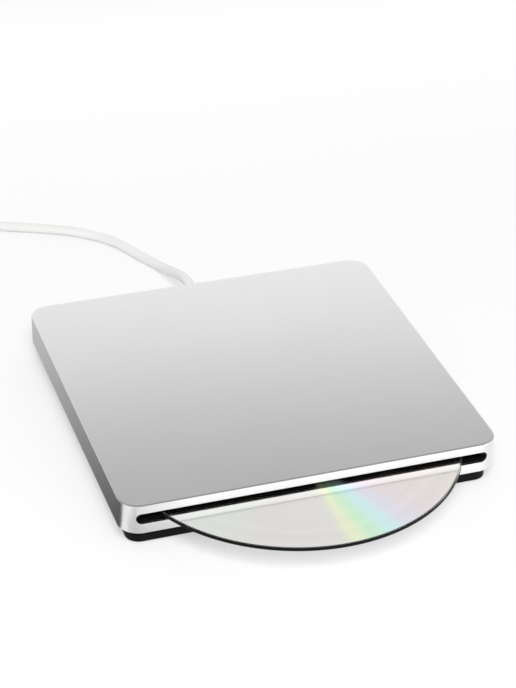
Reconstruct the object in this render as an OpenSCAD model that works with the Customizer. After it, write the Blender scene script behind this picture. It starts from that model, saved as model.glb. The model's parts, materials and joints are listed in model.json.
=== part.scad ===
/* [Body] */
// Width of the metal shell, left to right
body_w = 137; // [136.5:0.5:145]
// Depth of the metal shell, front to back
body_d = 137; // [136.5:0.5:145]
// Height from the table to the top face
body_h = 17; // [16.8:0.1:18]
// Radius of the upright corners
corner_r = 7.6; // [6:0.1:8.5]
// Height of the black base below the shell
base_h = 5.7; // [5.4:0.1:5.8]
// How far the base is set in under the shell
base_inset = 2.6; // [2.2:0.1:3.6]
// Wall of the metal shell
shell_wall = 1.5; // [1:0.1:1.7]
// Top thickness of the metal shell
shell_top = 1.5; // [1:0.1:1.7]
// Small bevel round the top edge
edge_bevel = 0.5; // [0.2:0.1:0.9]

/* [Slot and disc] */
// Length of the slot
slot_w = 127.4; // [124:0.2:129]
// Height of the slot
slot_h = 4.1; // [3.6:0.1:4.3]
// Lower lip of the slot above the table
slot_z = 9.6; // [9.4:0.1:9.7]
// Diameter of the disc
disc_d = 120; // [119.7:0.1:120.3]
// Thickness of the disc
disc_t = 1.2; // [1.1:0.05:1.4]
// Centre hole of the disc
disc_hole = 15; // [14.9:0.05:15.2]
// How far the disc stands out of the slot
disc_out = 34; // [25:0.1:40]

/* [Loader] */
// Radius of the rubber roller at its ends
roller_r = 2.5; // [2.2:0.05:2.5]
// Radius of the rubber roller at its middle
roller_mid_r = 2.2; // [1.8:0.05:2.2]
// Radius of the roller shaft
roller_shaft_r = 0.9; // [0.7:0.05:1.1]
// Tooth size of the gears as module
gear_module = 0.3; // [0.28:0.005:0.3]
// Face width of the gears
gear_face = 1.2; // [0.9:0.1:1.3]
// Tooth play in every mesh
gear_play = 0.09; // [0.07:0.01:0.12]
// Radius of the loading motor can
motor_r = 3; // [2.5:0.1:3]
// Length of the loading motor can
motor_len = 13; // [10:0.5:15]

/* [Spindle and pickup] */
// Radius of the turntable plate
turntable_r = 13.5; // [12:0.1:14]
// Radius of the centring hub
hub_r = 7.2; // [6.8:0.05:7.3]
// Radius of the main guide rod
rod_r = 1; // [0.8:0.05:1.2]
// Distance of the lens from the spindle axis at rest
lens_at = 30; // [28:0.5:32]
// Length of the pickup sled
sled_len = 14; // [12:0.5:14]
// Travel of the sled thread in one turn
screw_lead = 3; // [2.6:0.1:4]

/* [Cable] */
// Diameter of the cable
cord_d = 4; // [3.4:0.1:4.4]
// Cable exit, left or right of the middle
cord_x = -1; // [-3:0.1:1]
// Cable exit height above the table
cord_z = 11; // [10.8:0.1:11.2]
// Mean radius of the outer coil loop
coil_r = 25; // [24:0.5:28]

/* [Hidden] */
$fn = 64;
// Node that is drawn, or all of them
// Overlap that makes a cut go right through
cut = 0.5;
// Thickness of the rubber pad, and how much of it is let in
pad_t = 1;
pad_let_in = 0.5;
pad_edge = 4;
tub_floor_top = 2;
tub_wall = 1.3;
tub_in_r = 1;
tub_flange_t = 1.2;
// Play of the base in the shell
base_play = 0.2;
tub_w = body_w - 2 * base_inset;
tub_d = body_d - 2 * base_inset;
tub_r = max(corner_r - base_inset, 1.5);
// Inner drive unit
sheet = 0.8;
// Clear space between the drive and the shell, at the sides, front, rear and top
drive_side_gap = 5.7;
drive_front_gap = 5.6;
drive_rear_gap = 8;
drive_top_gap = 1.3;
drive_w = body_w - 2 * drive_side_gap;
drive_z = tub_floor_top + 0.3;
drive_front = -body_d / 2 + drive_front_gap;
drive_rear = body_d / 2 - drive_rear_gap;
drive_top = body_h - shell_top - drive_top_gap;
cover_t = 0.6;
floor_z = drive_z + sheet;
drive_in = drive_w / 2 - sheet;
// Disc
disc_z = slot_z + (slot_h - disc_t) / 2;
disc_y = disc_d / 2 - body_d / 2 - disc_out;
spindle_y = -1.5;
// Loader positions in the Y Z plane
roller_y = drive_front + 4.4;
roller_gap = 0.1;
roller_z = disc_z - roller_gap - roller_r;
roller_teeth = 14;
idler_teeth = 14;
wheel_teeth = 22;
pinion_teeth = 10;
idler_y = roller_y;
idler_z = roller_z + gear_module * (roller_teeth + idler_teeth) / 2;
// Slope of the line from the idler to the wheel
wheel_slope = -10;
wheel_gap = gear_module * (idler_teeth + wheel_teeth) / 2;
wheel_y = idler_y + wheel_gap * cos(wheel_slope);
wheel_z = idler_z + wheel_gap * sin(wheel_slope);
pinion_gap = gear_module * (wheel_teeth + pinion_teeth) / 2;
motor_z = roller_z - 0.95;
pinion_slope = -asin((wheel_z - motor_z) / pinion_gap);
motor_y = wheel_y + pinion_gap * cos(pinion_slope);
// Gears start just outside the rim of the disc
gear_x = disc_d / 2 + 0.5;
axle_r = 0.6;
run_play = 0.05;
arm_x = gear_x - 1.9;
arm_t = 1;
pivot_y = roller_y + 5.5;
post_x = arm_x - 1.6;
post_t = 1.2;
motor_end = gear_x - 4.5;
// Traverse, drawn along X from the spindle and then turned
traverse_turn = 45;
frame_z = floor_z + 0.9;
frame_t = 0.8;
frame_top = frame_z + frame_t;
frame_outline = [[-19, -24], [42, -24], [60, -20], [74, -8], [74, 8], [62, 23.5], [-19, 24]];
damper_at = [[-15, -20], [-15, 19], [46, -19.5], [70, 0]];
rod_z = 6.2;
// Underside of the turntable plate
table_z = frame_top + 2.2;
main_rod_y = 15;
sub_rod_y = -13;
sub_rod_r = 0.8;
rod_from = 9;
rod_to = 66;
holder_t = 2;
screw_y = 19.9;
screw_r = 1;
screw_core_r = 0.6;
screw_from = 8;
screw_to = 58;
screw_bearing_x = 60;
sled_z = 5.1;
sled_top = 7.8;
sled_back = 9;
holder_top = sled_top + 0.2;
lens_r = 1.8;
screw_motor_r = 2.9;
screw_motor_len = 12;
screw_motor_face = 4;
// Drive board
board_z = floor_z + 0.8;
board_t = 0.8;
board_top = board_z + board_t;
// Board edges: outer and inner side of its long leg, end of its short leg, front, step and rear
board_out = -drive_in + 1;
board_in = board_out + 25;
board_arm = 5;
board_front = drive_front + 16.9;
board_step = drive_rear - 12.5;
board_rear = drive_rear - 2.5;
board_posts = [
  [board_out + 2.5, board_front + 2.5],
  [board_in - 3, board_front + 6],
  [board_arm - 13, board_step + 5]
];
// Places of the mounting screws and of the cover screws
mount_x = drive_in - 5;
mount_rear = drive_rear - 8.5;
mount_front = drive_front + 22.9;
mount_at = [
  [-mount_x, mount_rear], [mount_x, mount_rear],
  [-mount_x, mount_front], [mount_x, mount_front]
];
tab_x = drive_in - 1.6;
tab_in = drive_in - 3.2;
tab_front = drive_front + 17.9;
tab_rear = drive_rear - 10.5;
cover_tabs = [
  [-tab_x, tab_front], [tab_x, tab_front],
  [-tab_x, tab_rear], [tab_x, tab_rear]
];
// Bridge board behind the drive
bridge_y = drive_rear + 1.4;
bridge_t = 1;
bridge_top = drive_top - 0.2;
bridge_from = -44;
bridge_to = 20;
// Connector between the two boards, side to side, and where its halves meet
link_from = -40;
link_to = -12;
link_h = 3.4;
link_meet = drive_rear + 0.5;
// Cable outlet
gland_in = body_d / 2 - shell_wall - 1.4;
gland_end = body_d / 2 + 6;
gland_neck_r = 2.8;
gland_play = 0.05;
// Route of the cable over the table, chosen by hand
cord_r = cord_d / 2;
cord_up = cord_r + 0.05;
cord_points = [
  [cord_x, gland_end, cord_z],
  [cord_x, gland_end + 4.2, cord_z],
  [-1, 84.5, cord_z - 0.9],
  [-1.1, 90, cord_z - 2.5],
  [-1.5, 95.5, cord_z - 4.4],
  [-2.2, 101, cord_up + 2.75],
  [-3.2, 106.5, cord_up + 1.15],
  [-4.8, 112.3, cord_up + 0.2],
  [-8.1, 119.3, cord_up],
  [-11.7, 127, cord_up],
  [-16, 135.4, cord_up],
  [-23.4, 144, cord_up],
  [-33, 151, cord_up],
  [-44, 156.6, cord_up],
  [-55.5, 161.6, cord_up],
  [-67, 166.2, cord_up],
  [-78, 170.3, cord_up],
  [-82, 171.7, cord_up]
];
cord_last = len(cord_points) - 1;
cord_end = cord_points[cord_last];
end_step = cord_end - cord_points[cord_last - 1];
end_dir = end_step / norm(end_step);
end_turn = atan2(end_dir[1], end_dir[0]);
// Coil, drawn with its incoming end along X and then turned
coil_steps = 24;
coil_turns = 2;
coil_pitch = cord_d + 0.6;
coil_rings = coil_steps * coil_turns;
coil_lead = 6;
coil_tail = 34;
// Part of the way round at which the climb starts and ends
climb_from = 0.75;
climb_to = 1.25;
// The spiral runs in for one turn and out for one turn
function spiral_r(t) = coil_r - coil_pitch * (1 - abs(1 - t));
function climb(t) = min(max((t - climb_from) / (climb_to - climb_from), 0), 1);
function smooth(u) = u * u * (3 - 2 * u);
function spiral_z(t) = cord_up + coil_pitch * smooth(climb(t));
function spiral_point(t) = [
  coil_lead + spiral_r(t) * sin(360 * t),
  coil_r - spiral_r(t) * cos(360 * t),
  spiral_z(t)
];
plug_w = 15.6;
plug_h = 8;
plug_len = 24;
plug_z = plug_h / 2 + 0.1;
coil_start = [for (d = [0, cord_d]) [d, 0, cord_up]];
coil_loop = [for (i = [0:coil_rings]) spiral_point(i / coil_steps)];
tail_high = cord_up + coil_pitch;
tail_points = [
  [coil_lead + 9, 0, tail_high - 0.5],
  [coil_lead + 18, 0, plug_z + 0.9],
  [coil_lead + 26, 0, plug_z],
  [coil_lead + coil_tail, 0, plug_z]
];
coil_points = concat(coil_start, coil_loop, tail_points);
plug_at = coil_lead + coil_tail;
function path_len(p, i = 0) = i >= len(p) - 1 ? 0 : norm(p[i + 1] - p[i]) + path_len(p, i + 1);
// Least clear gap between points of the coil that are over a quarter turn apart
coil_apart = floor(coil_steps / 4);
coil_near = [
  for (i = [0:len(coil_points) - 1])
    for (j = [0:len(coil_points) - 1])
      if (j > i + coil_apart) norm(coil_points[i] - coil_points[j])
];
echo("least coil gap mm", min(coil_near) - cord_d);
echo("source measures", path_len(cord_points) + path_len(coil_points));

// Flat rounded rectangle with true round corners
module rounded(w, d, r) {
  square([w - 2 * r, d], center = true);
  square([w, d - 2 * r], center = true);
  for (x = [-1, 1]) for (y = [-1, 1]) translate([x * (w / 2 - r), y * (d / 2 - r)]) circle(r);
}

// Rounded block between two heights
module block(w, d, r, z0, z1) {
  translate([0, 0, z0]) linear_extrude(z1 - z0) rounded(w, d, r);
}

// Plain box by its two corners
module box(a, b) {
  translate(a) cube(b - a);
}

// Round bar along Z between two heights
module bar(x, y, r, z0, z1) {
  translate([x, y, z0]) cylinder(r = r, h = z1 - z0);
}

// Round bar along X between two places
module bar_x(y, z, r, x0, x1) {
  translate([x0, y, z]) rotate([0, 90, 0]) cylinder(r = r, h = x1 - x0);
}

// Bevelled cap of a rounded block
module bevel_cap(w, d, r, c, z) {
  for (x = [-1, 1]) for (y = [-1, 1])
    translate([x * (w / 2 - r), y * (d / 2 - r), z]) cylinder(r1 = r, r2 = r - c, h = c);
  translate([0, d / 2 - r, z]) rotate([90, 0, 0]) linear_extrude(d - 2 * r) wedge(w / 2, c);
  translate([-w / 2 + r, 0, z]) rotate([90, 0, 90]) linear_extrude(w - 2 * r) wedge(d / 2, c);
}

module wedge(half, c) {
  polygon([[-half, 0], [half, 0], [half - c, c], [-half + c, c]]);
}

// Everything on the traverse is drawn from the spindle and then turned
module on_traverse() {
  translate([0, spindle_y, 0]) rotate([0, 0, traverse_turn]) children();
}

// Involute tooth flank at a radius, as an angle from the base circle
pressure = 20;
function unwind(rb, r) = r <= rb ? 0 : sqrt(pow(r / rb, 2) - 1) * 180 / PI - acos(rb / r);
function tooth_half(n, r, rp, rb) =
  90 / n - gear_play / 2 / rp * 180 / PI + unwind(rb, rp) - unwind(rb, r);
function tooth_radii(rp) = [
  rp - 1.25 * gear_module, rp - 0.6 * gear_module, rp, rp + 0.5 * gear_module,
  rp + 0.9 * gear_module
];
function tooth_points(n, i, turn) =
  let (rp = n * gear_module / 2, rb = rp * cos(pressure), rr = tooth_radii(rp), at = turn + i * 360 / n)
  concat(
    [for (k = [0:4]) polar(rr[k], at - tooth_half(n, rr[k], rp, rb))],
    [for (k = [4:-1:0]) polar(rr[k], at + tooth_half(n, rr[k], rp, rb))]
  );
function polar(r, a) = [r * cos(a), r * sin(a)];

// Flat gear outline with one tooth at the given turn
module gear_outline(n, turn) {
  polygon([for (i = [0:n - 1]) each tooth_points(n, i, turn)]);
}

// Turn that a gear needs to mesh with a neighbour in a direction
function mesh_turn(dir, turn_a, na, nb) =
  dir + 180 - (0.5 - (dir - turn_a) * na / 360) * 360 / nb;
roller_turn = 90;
idler_turn = mesh_turn(90, roller_turn, roller_teeth, idler_teeth);
wheel_turn = mesh_turn(wheel_slope, idler_turn, idler_teeth, wheel_teeth);
pinion_turn = mesh_turn(pinion_slope, wheel_turn, wheel_teeth, pinion_teeth);

// Gear on an axis along X with a round bore
module gear(n, turn, y, z, bore) {
  translate([gear_x, y, z]) rotate([90, 0, 90]) difference() {
    linear_extrude(gear_face) gear_outline(n, turn);
    translate([0, 0, -cut]) cylinder(r = bore, h = gear_face + 2 * cut);
  }
}

// Swept round tube along points
function unit(v) = v / norm(v);
function tangent(p, i) = unit(p[min(i + 1, len(p) - 1)] - p[max(i - 1, 0)]);
function tube_ring(p, i, r, n) =
  let (t = tangent(p, i), s = unit(cross(t, [0, 0, 1])), u = cross(s, t))
  [for (k = [0:n - 1]) p[i] + r * (cos(360 * k / n) * s + sin(360 * k / n) * u)];
function tube_sides(m, n) = [
  for (i = [0:m - 2]) for (k = [0:n - 1]) for (half = [0, 1])
    let (a = i * n + k, b = i * n + (k + 1) % n)
    half == 0 ? [a, b, b + n] : [a, b + n, a + n]
];
module tube(p, r, n) {
  m = len(p);
  points = [for (i = [0:m - 1]) each tube_ring(p, i, r, n)];
  first = [for (k = [n - 1:-1:0]) k];
  last = [for (k = [0:n - 1]) (m - 1) * n + k];
  polyhedron(points, concat([first], tube_sides(m, n), [last]), convexity = 6);
}

// Everything on the coil is drawn along X and then put at the end of the cable
module at_coil() {
  translate([cord_end[0], cord_end[1], 0]) rotate([0, 0, end_turn]) children();
}

module slot_outline() {
  translate([0, slot_z + slot_h / 2]) {
    square([slot_w - slot_h, slot_h], center = true);
    for (x = [-1, 1]) translate([x * (slot_w - slot_h) / 2, 0]) circle(slot_h / 2);
  }
}

module top_shell() {
  in_w = body_w - 2 * shell_wall;
  in_d = body_d - 2 * shell_wall;
  color([0.78, 0.79, 0.8]) difference() {
    union() {
      block(body_w, body_d, corner_r, base_h, body_h - edge_bevel);
      bevel_cap(body_w, body_d, corner_r, edge_bevel, body_h - edge_bevel);
    }
    block(in_w, in_d, corner_r - shell_wall, base_h - cut, body_h - shell_top);
    translate([0, -in_d / 2 + cut, 0]) rotate([90, 0, 0])
      linear_extrude(shell_wall + 2 * cut) slot_outline();
    translate([cord_x, in_d / 2 - cut, cord_z]) rotate([-90, 0, 0])
      cylinder(r = gland_neck_r + gland_play, h = shell_wall + 2 * cut);
    for (x = [-1, 1]) for (y = clip_at)
      translate([x * in_w / 2, y, clip_top - 0.6]) cube([0.8, clip_w + 1, 0.9], center = true);
  }
}

// Clips that hold the base in the shell
clip_at = [-42, 0, 42];
clip_w = 9;
clip_t = 0.9;
clip_top = 9.4;

module base_clips() {
  side = body_w / 2 - shell_wall - base_play;
  for (x = [-1, 1]) for (y = clip_at) {
    translate([x * (side - clip_t / 2), y, (base_h + clip_top) / 2])
      cube([clip_t, clip_w, clip_top - base_h], center = true);
    translate([x * (side + 0.1), y, clip_top - 0.6]) cube([0.5, clip_w, 0.5], center = true);
  }
}

module base_tub() {
  flange_w = body_w - 2 * shell_wall - 2 * base_play;
  flange_d = body_d - 2 * shell_wall - 2 * base_play;
  flange_r = corner_r - shell_wall - base_play;
  color([0.07, 0.07, 0.075]) difference() {
    union() {
      difference() {
        union() {
          block(tub_w, tub_d, tub_r, pad_let_in, base_h + tub_flange_t);
          block(flange_w, flange_d, flange_r, base_h, base_h + tub_flange_t);
        }
        block(tub_w - 2 * tub_wall, tub_d - 2 * tub_wall, tub_in_r,
          tub_floor_top, base_h + tub_flange_t + cut);
      }
      for (p = mount_at) bar(p[0], p[1], 3.2, tub_floor_top - cut, drive_z);
      base_clips();
    }
    block(tub_w - 2 * pad_edge, tub_d - 2 * pad_edge, tub_r, pad_let_in - cut, pad_t);
    for (p = mount_at) {
      bar(p[0], p[1], 1.1, pad_t - cut, drive_z + cut);
      bar(p[0], p[1], 1.9, pad_t - cut, pad_t + 0.7);
    }
  }
}

module base_pad() {
  color([0.05, 0.05, 0.05]) 
    block(tub_w - 2 * pad_edge - 2 * base_play, tub_d - 2 * pad_edge - 2 * base_play,
      tub_r - base_play, 0, pad_t);
}

// Dust strips and throat behind the slot, kept inside the shell's rounded corners
felt_t = 0.6;
throat_low = base_h + tub_flange_t + 0.7;
throat_half = slot_w / 2 + 0.3;
throat_play = 0.05;

module inside_shell() {
  in_w = body_w - 2 * shell_wall;
  in_d = body_d - 2 * shell_wall;
  intersection() {
    children();
    block(in_w - 2 * throat_play, in_d, corner_r - shell_wall - throat_play, throat_low, drive_top);
  }
}

module felt_strip(z0, z1) {
  front = -body_d / 2 + shell_wall;
  inside_shell() box([-throat_half, front, z0], [throat_half, front + felt_t, z1]);
}

module dust_felt_upper() {
  color([0.04, 0.04, 0.04]) felt_strip(disc_z + disc_t + 0.4, slot_z + slot_h + 0.5);
}

module dust_felt_lower() {
  color([0.04, 0.04, 0.04]) felt_strip(throat_low, disc_z - 0.2);
}

module slot_bezel() {
  front = -body_d / 2 + shell_wall + felt_t;
  free = disc_d / 2 + 2;
  color([0.05, 0.05, 0.055]) difference() {
    inside_shell() box([-throat_half, front, throat_low], [throat_half, drive_front, drive_top]);
    box([-free, front - cut, disc_z - 0.4], [free, drive_front + cut, disc_z + disc_t + 1.4]);
  }
}

module drive_chassis() {
  half = drive_w / 2;
  color([0.62, 0.63, 0.64]) difference() {
    union() {
      difference() {
        box([-half, drive_front, drive_z], [half, drive_rear, drive_top]);
        box([-drive_in, drive_front + sheet, floor_z], [drive_in, drive_rear - sheet, drive_top + cut]);
        box([-drive_in, drive_front - cut, disc_z - 0.45],
          [drive_in, drive_front + sheet + cut, drive_top + cut]);
      }
      for (p = mount_at) bar(p[0], p[1], 2.2, floor_z - 0.2, floor_z + 0.6);
      for (p = board_posts) bar(p[0], p[1], 2, floor_z - 0.2, board_z);
      for (p = cover_tabs) {
        x0 = p[0] > 0 ? tab_in : -drive_in - 0.2;
        x1 = p[0] > 0 ? drive_in + 0.2 : -tab_in;
        box([x0, p[1] - 1.6, drive_top - 1.6], [x1, p[1] + 1.6, drive_top]);
      }
      for (s = [-1, 1]) pivot_post(s);
      for (x = [motor_end - 2, motor_end - motor_len + 1]) motor_rib(x);
    }
    for (p = mount_at) bar(p[0], p[1], 0.85, drive_z - cut, floor_z + 0.6 + cut);
    for (p = board_posts) bar(p[0], p[1], 0.7, floor_z, board_z + cut);
    for (p = cover_tabs) bar(p[0], p[1], 0.85, drive_top - 2.2, drive_top + cut);
    box([link_from - 1, drive_rear - sheet - cut, board_top - 0.3],
      [link_to + 1, drive_rear + cut, board_top + link_h + 0.4]);
  }
}

// Post with the pin that the roller bracket swings on
module pivot_post(s) {
  x0 = s > 0 ? post_x : -post_x - post_t;
  box([x0, pivot_y - 1.1, floor_z - 0.2], [x0 + post_t, pivot_y + 1.3, roller_z + 1.3]);
  pin0 = s > 0 ? post_x + 0.2 : -arm_x - arm_t;
  pin1 = s > 0 ? arm_x + arm_t : -post_x - 0.2;
  bar_x(pivot_y, roller_z, axle_r, pin0, pin1);
}

// Rib that the loading motor lies in
module motor_rib(x) {
  difference() {
    box([x - 0.6, motor_y - motor_r + 0.2, floor_z - 0.2], [x + 0.6, motor_y + motor_r - 0.2, motor_z]);
    bar_x(motor_y, motor_z, motor_r, x - 2, x + 2);
  }
}

// Cover with a window over the loading gears
module drive_cover() {
  half = drive_w / 2;
  idler_reach = gear_module * idler_teeth / 2 + 1;
  wheel_reach = gear_module * wheel_teeth / 2 + 1;
  color([0.7, 0.71, 0.72]) difference() {
    box([-half, drive_front, drive_top], [half, drive_rear, drive_top + cover_t]);
    for (p = cover_tabs) bar(p[0], p[1], 0.9, drive_top - cut, drive_top + cover_t + cut);
    box([gear_x - 0.4, idler_y - idler_reach, drive_top - cut],
      [gear_x + gear_face + 0.4, wheel_y + wheel_reach, drive_top + cover_t + cut]);
  }
}

module cover_screws() {
  color([0.5, 0.5, 0.52]) for (p = cover_tabs) {
    bar(p[0], p[1], 0.8, drive_top - 1.4, drive_top + cover_t + 0.1);
    bar(p[0], p[1], 1.5, drive_top + cover_t, drive_top + cover_t + 0.4);
  }
}

module mount_screws() {
  color([0.5, 0.5, 0.52]) for (p = mount_at) {
    bar(p[0], p[1], 0.8, pad_t + 0.5, floor_z + 0.4);
    bar(p[0], p[1], 1.8, pad_t + 0.05, pad_t + 0.7);
  }
}

// Foam pads between the drive and the shell
cover_pad_at = 40;
cover_pad_w = 20;
cover_pad_d = 8;

module cover_pads() {
  top = body_h - shell_top;
  color([0.15, 0.15, 0.15]) for (x = [-1, 1]) for (y = [-1, 1])
    translate([x * cover_pad_at, y * cover_pad_at, 0])
      box([-cover_pad_w / 2, -cover_pad_d / 2, drive_top + cover_t], [cover_pad_w / 2, cover_pad_d / 2, top]);
}

// Upper rail that the roller presses the disc against
guide_d = 5;

module disc_guide() {
  low = disc_z + disc_t + 0.2;
  half = arm_x - 0.6;
  flat = half - 6;
  color([0.1, 0.1, 0.11]) translate([0, roller_y + guide_d / 2, 0]) rotate([90, 0, 0]) linear_extrude(guide_d)
    polygon([
      [-half, drive_top], [half, drive_top], [half, low], [flat, low],
      [0, low + 0.9], [-flat, low], [-half, low]
    ]);
}

module gear_axles() {
  color([0.6, 0.6, 0.62]) {
    bar_x(idler_y, idler_z, axle_r, gear_x, drive_in);
    bar_x(wheel_y, wheel_z, axle_r, gear_x, drive_in);
  }
}

module loading_motor() {
  color([0.55, 0.55, 0.57]) difference() {
    union() {
      bar_x(motor_y, motor_z, motor_r, motor_end - motor_len, motor_end);
      bar_x(motor_y, motor_z, 1.2, motor_end - 0.2, motor_end + 0.6);
      bar_x(motor_y, motor_z, 1.4, motor_end - motor_len - 0.7, motor_end - motor_len + 0.2);
    }
    bar_x(motor_y, motor_z, 0.5 + run_play, motor_end - 3, motor_end + cut + 0.6);
  }
}

// Cross bar of the roller bracket, behind the roller
bar_y = roller_y + 2.8;
bar_d = 1;
bar_low = roller_z - 1;
// Helix of a small coil spring standing on the chassis floor
spring_turns = 4;
spring_wire = 0.2;
spring_r = 0.6;
spring_at = [-50, 50];
spring_y = bar_y + bar_d / 2;
spring_top = bar_low - 0.05;
function spring_points(x) = [
  for (i = [0:spring_turns * 12])
    [x + spring_r * cos(30 * i), spring_y + spring_r * sin(30 * i),
     floor_z + spring_wire + (spring_top - floor_z - 2 * spring_wire) * i / spring_turns / 12]
];

module roller_springs() {
  color([0.65, 0.65, 0.67]) for (x = spring_at) tube(spring_points(x), spring_wire, 6);
}

// Bracket with an arm at each end of the roller and a bar between them
module roller_bracket() {
  color([0.3, 0.3, 0.31]) difference() {
    union() {
      for (x = [-arm_x - arm_t, arm_x])
        box([x, roller_y - 2, roller_z - 1.8], [x + arm_t, pivot_y + 1.3, roller_z + 1.8]);
      box([-arm_x - 0.2, bar_y, bar_low], [arm_x + 0.2, bar_y + bar_d, roller_z + 0.8]);
    }
    for (x = [-arm_x - arm_t, arm_x]) {
      bar_x(pivot_y, roller_z, axle_r + run_play, x - cut, x + arm_t + cut);
      bar_x(roller_y, roller_z, roller_shaft_r + 0.4, x - cut, x + arm_t + cut);
    }
  }
}

module roller_bushes() {
  color([0.75, 0.62, 0.35]) for (x = [-arm_x - arm_t, arm_x]) difference() {
    bar_x(roller_y, roller_z, roller_shaft_r + 0.4, x, x + arm_t);
    bar_x(roller_y, roller_z, roller_shaft_r + run_play, x - cut, x + arm_t + cut);
  }
}

module roller_shaft() {
  color([0.7, 0.7, 0.72]) bar_x(roller_y, roller_z, roller_shaft_r, -arm_x - arm_t - 0.4, gear_x + gear_face);
}

// Rubber sleeves, one on each half of the shaft
sleeve_from = 3;
sleeve_len = arm_x - 2.6 - sleeve_from;

module roller_sleeves() {
  color([0.09, 0.09, 0.09]) for (s = [-1, 1]) mirror([s < 0 ? 1 : 0, 0, 0])
    translate([sleeve_from, roller_y, roller_z]) rotate([0, 90, 0]) difference() {
      cylinder(r1 = roller_mid_r, r2 = roller_r, h = sleeve_len);
      translate([0, 0, -cut]) cylinder(r = roller_shaft_r, h = sleeve_len + 2 * cut);
    }
}

module roller_gear() {
  color([0.9, 0.88, 0.8]) gear(roller_teeth, roller_turn, roller_y, roller_z, roller_shaft_r);
}

module idler_gear() {
  color([0.9, 0.88, 0.8]) gear(idler_teeth, idler_turn, idler_y, idler_z, axle_r + run_play);
}

module drive_wheel() {
  color([0.9, 0.88, 0.8]) gear(wheel_teeth, wheel_turn, wheel_y, wheel_z, axle_r + run_play);
}

module motor_pinion() {
  color([0.8, 0.7, 0.4]) {
    translate([gear_x, motor_y, motor_z]) rotate([90, 0, 90]) linear_extrude(gear_face)
      gear_outline(pinion_teeth, pinion_turn);
    bar_x(motor_y, motor_z, 0.5, motor_end - 2.8, gear_x + 0.2);
  }
}

module traverse_dampers() {
  color([0.08, 0.08, 0.08]) on_traverse() for (p = damper_at) difference() {
    bar(p[0], p[1], 2.6, floor_z, frame_z);
    bar(p[0], p[1], 1.2, floor_z - cut, frame_z + cut);
  }
}

module traverse_screws() {
  color([0.5, 0.5, 0.52]) on_traverse() for (p = damper_at) {
    bar(p[0], p[1], 1.1, floor_z, frame_top + 0.1);
    bar(p[0], p[1], 1.8, frame_top, frame_top + 0.5);
  }
}

// Upright that holds one end of a guide rod
module rod_holder(x, y, r) {
  difference() {
    box([x, y - 1.8, frame_top - 0.2], [x + holder_t, y + 1.8, rod_z + 1.7]);
    translate([x - cut, y, rod_z]) rotate([0, 90, 0]) cylinder(r = r, h = holder_t + 2 * cut);
  }
}

module traverse_frame() {
  color([0.68, 0.69, 0.7]) on_traverse() difference() {
    union() {
      translate([0, 0, frame_z]) linear_extrude(frame_t) polygon(frame_outline);
      for (x = [rod_from, rod_to - holder_t]) {
        rod_holder(x, main_rod_y, rod_r);
        rod_holder(x, sub_rod_y, sub_rod_r);
      }
      box([screw_motor_face, 16.9, frame_z], [screw_motor_face + 0.8, 23, rod_z + 2.4]);
    }
    box([13, -10.8, frame_z - cut], [63.5, 12.8, frame_top + cut]);
    box([-9, 16.7, frame_z - cut], [screw_motor_face, 25, frame_top + cut]);
    for (p = damper_at) bar(p[0], p[1], 1.2, frame_z - cut, frame_top + cut);
    translate([screw_motor_face - cut, screw_y, rod_z]) rotate([0, 90, 0]) cylinder(r = 1.1, h = 2);
  }
}

module spindle_plate() {
  color([0.1, 0.3, 0.15]) on_traverse() difference() {
    bar(0, 0, 12, frame_top, frame_top + 0.4);
    bar(0, 0, 2, frame_top - cut, frame_top + 0.4 + cut);
  }
}

module spindle_stator() {
  color([0.6, 0.35, 0.2]) on_traverse() difference() {
    bar(0, 0, 8.5, frame_top + 0.4, table_z - 0.4);
    bar(0, 0, 1.5 + run_play, frame_top, table_z - 0.4 + cut);
  }
}

// Three places round the hub for the clamp balls
module clamp_places() {
  for (a = [0, 120, 240]) rotate([0, 0, a]) translate([hub_r - 0.5, 0, table_z + 1.3]) children();
}

module turntable() {
  color([0.5, 0.5, 0.52]) on_traverse() difference() {
    union() {
      bar(0, 0, turntable_r, table_z, table_z + 0.6);
      difference() {
        bar(0, 0, 10.3, table_z - 1.4, table_z + 0.1);
        bar(0, 0, 9.3, table_z - 1.4 - cut, table_z + 0.1 + cut);
      }
      bar(0, 0, hub_r, table_z + 0.5, table_z + 1.5);
      translate([0, 0, table_z + 1.5]) cylinder(r1 = hub_r, r2 = hub_r - 1.2, h = 0.8);
      bar(0, 0, 1.5, table_z - 1.7, table_z + 0.1);
    }
    clamp_places() sphere(r = 0.75, $fn = 32);
  }
}

module turntable_mat() {
  color([0.06, 0.06, 0.06]) on_traverse() difference() {
    bar(0, 0, turntable_r - 0.3, table_z + 0.6, table_z + 0.9);
    bar(0, 0, turntable_r - 4, table_z + 0.6 - cut, table_z + 0.9 + cut);
  }
}

module clamp_balls() {
  color([0.75, 0.75, 0.77]) on_traverse() clamp_places() sphere(r = 0.7, $fn = 32);
}

module main_rod() {
  color([0.75, 0.75, 0.77]) on_traverse() translate([rod_from, main_rod_y, rod_z])
    rotate([0, 90, 0]) cylinder(r = rod_r, h = rod_to - rod_from);
}

module sub_rod() {
  color([0.75, 0.75, 0.77]) on_traverse() translate([rod_from, sub_rod_y, rod_z])
    rotate([0, 90, 0]) cylinder(r = sub_rod_r, h = rod_to - rod_from);
}

module sled_motor() {
  color([0.55, 0.55, 0.57]) on_traverse() translate([screw_motor_face - screw_motor_len, screw_y, rod_z])
    rotate([0, 90, 0]) difference() {
      cylinder(r = screw_motor_r, h = screw_motor_len);
      translate([0, 0, screw_motor_len - 2]) cylinder(r = 0.75, h = 3);
    }
}

// Thread is a round bar whose middle winds closely about the shaft axis
thread_steps = 8;
thread_off = 0.25;
thread_rings = round((screw_to - screw_from) / screw_lead * thread_steps);
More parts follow.
